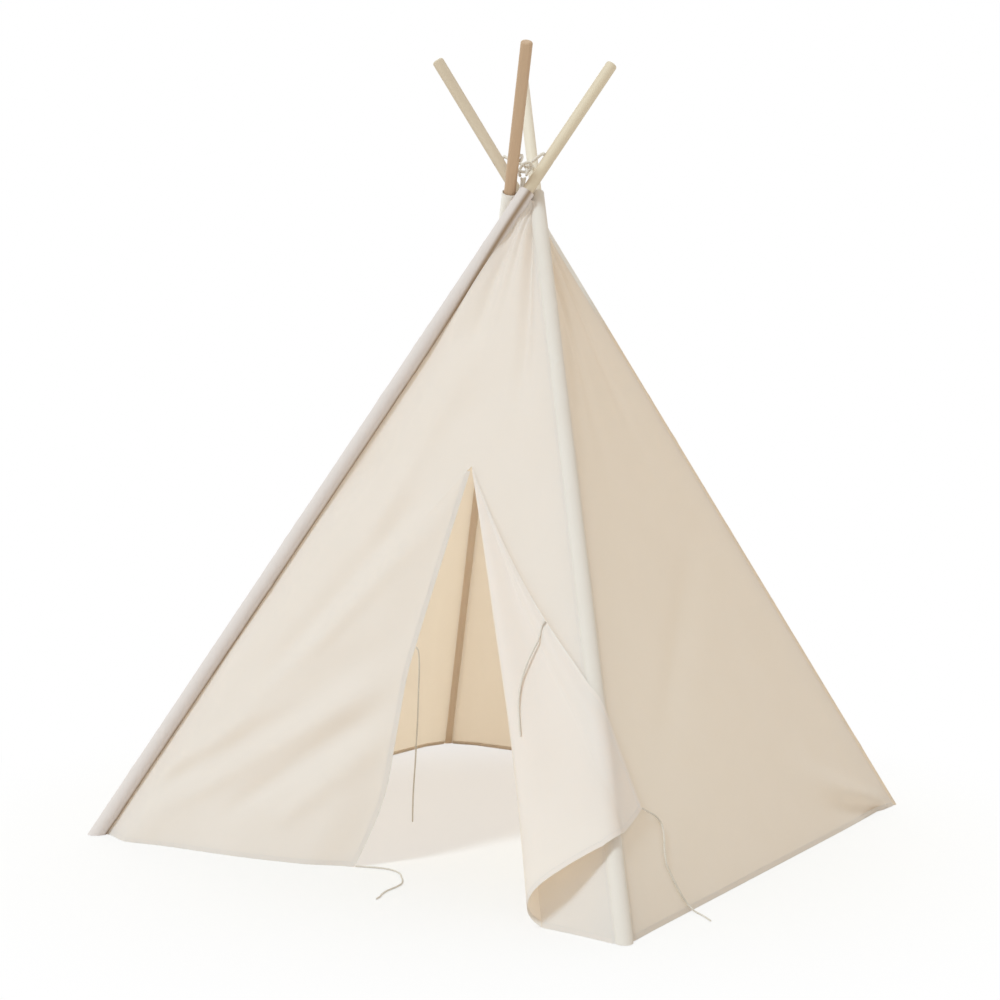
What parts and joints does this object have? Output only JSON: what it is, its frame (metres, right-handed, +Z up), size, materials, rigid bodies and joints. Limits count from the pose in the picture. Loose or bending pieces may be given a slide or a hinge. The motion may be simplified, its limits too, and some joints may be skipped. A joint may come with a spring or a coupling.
{
  "type": "kids teepee",
  "caption": "Square play teepee: round wooden poles lashed above their crossing, canvas sides on sewn pole sleeves, and a doorway with tie-back flaps.",
  "frame": {"origin": "on the floor, under the crossing of the poles, at the middle of the four feet", "axes": "+Z up; the doorway faces -Y, and a person looking in at it has +X to the right"},
  "size_m": [1.2319, 1.2073, 1.5027],
  "materials": {
    "beech": "sanded natural wood, thin matt oil",
    "canvas": "natural unbleached cotton canvas, plain weave",
    "cotton_rope": "twisted natural cotton rope",
    "cotton_cord": "thin natural cotton cord"
  },
  "bodies": {
    "lashing": {"lashing_knot": "cotton_rope", "rope_front_left": "cotton_rope", "rope_front_right": "cotton_rope", "rope_back_right": "cotton_rope", "rope_back_left": "cotton_rope", "lashing_tail_long": "cotton_rope", "lashing_tail_short": "cotton_rope"},
    "leg_front_left": {"pole_front_left": "beech", "sleeve_front_left": "canvas"},
    "leg_front_right": {"pole_front_right": "beech", "sleeve_front_right": "canvas"},
    "leg_back_right": {"pole_back_right": "beech", "sleeve_back_right": "canvas"},
    "leg_back_left": {"pole_back_left": "beech", "sleeve_back_left": "canvas"},
    "side_front": {"panel_front": "canvas"},
    "side_right": {"panel_right": "canvas"},
    "side_back": {"panel_back": "canvas"},
    "side_left": {"panel_left": "canvas"},
    "flap_left": {"door_flap_left": "canvas", "tie_left_mid": "cotton_cord", "tie_left_bottom": "cotton_cord"},
    "flap_right": {"door_flap_right": "canvas", "tie_right_mid": "cotton_cord", "tie_right_bottom": "cotton_cord"}
  },
  "joints": [
    {"name": "frame_fold", "type": "hinge", "parent": "lashing", "child": "leg_front_left", "pos_m": [0.05183, 0.01152, 1.30975], "axis": [0.6832, -0.7302, 0], "range_deg": [0, 28], "deforming": ["rope_front_left"]},
    {"name": "leg_front_right_fold", "type": "hinge", "parent": "lashing", "child": "leg_front_right", "pos_m": [-0.01152, 0.05183, 1.30975], "axis": [0.7302, 0.6832, 0], "range_deg": [0, 28], "deforming": ["rope_front_right"]},
    {"name": "leg_back_right_fold", "type": "hinge", "parent": "lashing", "child": "leg_back_right", "pos_m": [-0.05183, -0.01152, 1.30975], "axis": [-0.6832, 0.7302, 0], "range_deg": [0, 28], "deforming": ["rope_back_right"]},
    {"name": "leg_back_left_fold", "type": "hinge", "parent": "lashing", "child": "leg_back_left", "pos_m": [0.01152, -0.05183, 1.30975], "axis": [-0.7302, -0.6832, 0], "range_deg": [0, 28], "deforming": ["rope_back_left"]},
    {"name": "side_front_fold", "type": "hinge", "parent": "lashing", "child": "side_front", "pos_m": [0.02015, 0.03168, 1.30975], "axis": [0.9994, -0.0332, 0], "range_deg": [0, 21.2], "deforming": ["panel_front"]},
    {"name": "side_right_fold", "type": "hinge", "parent": "lashing", "child": "side_right", "pos_m": [-0.03168, 0.02015, 1.30975], "axis": [0.0332, 0.9994, 0], "range_deg": [0, 21.2], "deforming": ["panel_right"]},
    {"name": "side_back_fold", "type": "hinge", "parent": "lashing", "child": "side_back", "pos_m": [-0.02015, -0.03168, 1.30975], "axis": [-0.9994, 0.0332, 0], "range_deg": [0, 21.2], "deforming": ["panel_back"]},
    {"name": "side_left_fold", "type": "hinge", "parent": "lashing", "child": "side_left", "pos_m": [0.03168, -0.02015, 1.30975], "axis": [-0.0332, -0.9994, 0], "range_deg": [0, 21.2], "deforming": ["panel_left"]},
    {"name": "flap_left_swing", "type": "hinge", "parent": "side_front", "child": "flap_left", "pos_m": [0.05809, -0.2498, 0.714], "axis": [0.5778, 0.3471, 0.7387], "range_deg": [-150, 0], "deforming": ["door_flap_left", "tie_left_mid", "tie_left_bottom"]},
    {"name": "flap_right_swing", "type": "hinge", "parent": "side_front", "child": "flap_right", "pos_m": [0.05809, -0.2498, 0.714], "axis": [-0.4314, 0.3838, 0.8165], "range_deg": [-165, 0], "deforming": ["door_flap_right", "tie_right_mid", "tie_right_bottom"]}
  ],
  "couplings": [
    {"joint": "leg_front_right_fold", "follows": "frame_fold", "ratio": 1},
    {"joint": "leg_back_right_fold", "follows": "frame_fold", "ratio": 1},
    {"joint": "leg_back_left_fold", "follows": "frame_fold", "ratio": 1},
    {"joint": "side_front_fold", "follows": "frame_fold", "ratio": 0.7555},
    {"joint": "side_right_fold", "follows": "frame_fold", "ratio": 0.7555},
    {"joint": "side_back_fold", "follows": "frame_fold", "ratio": 0.7555},
    {"joint": "side_left_fold", "follows": "frame_fold", "ratio": 0.7555}
  ]
}
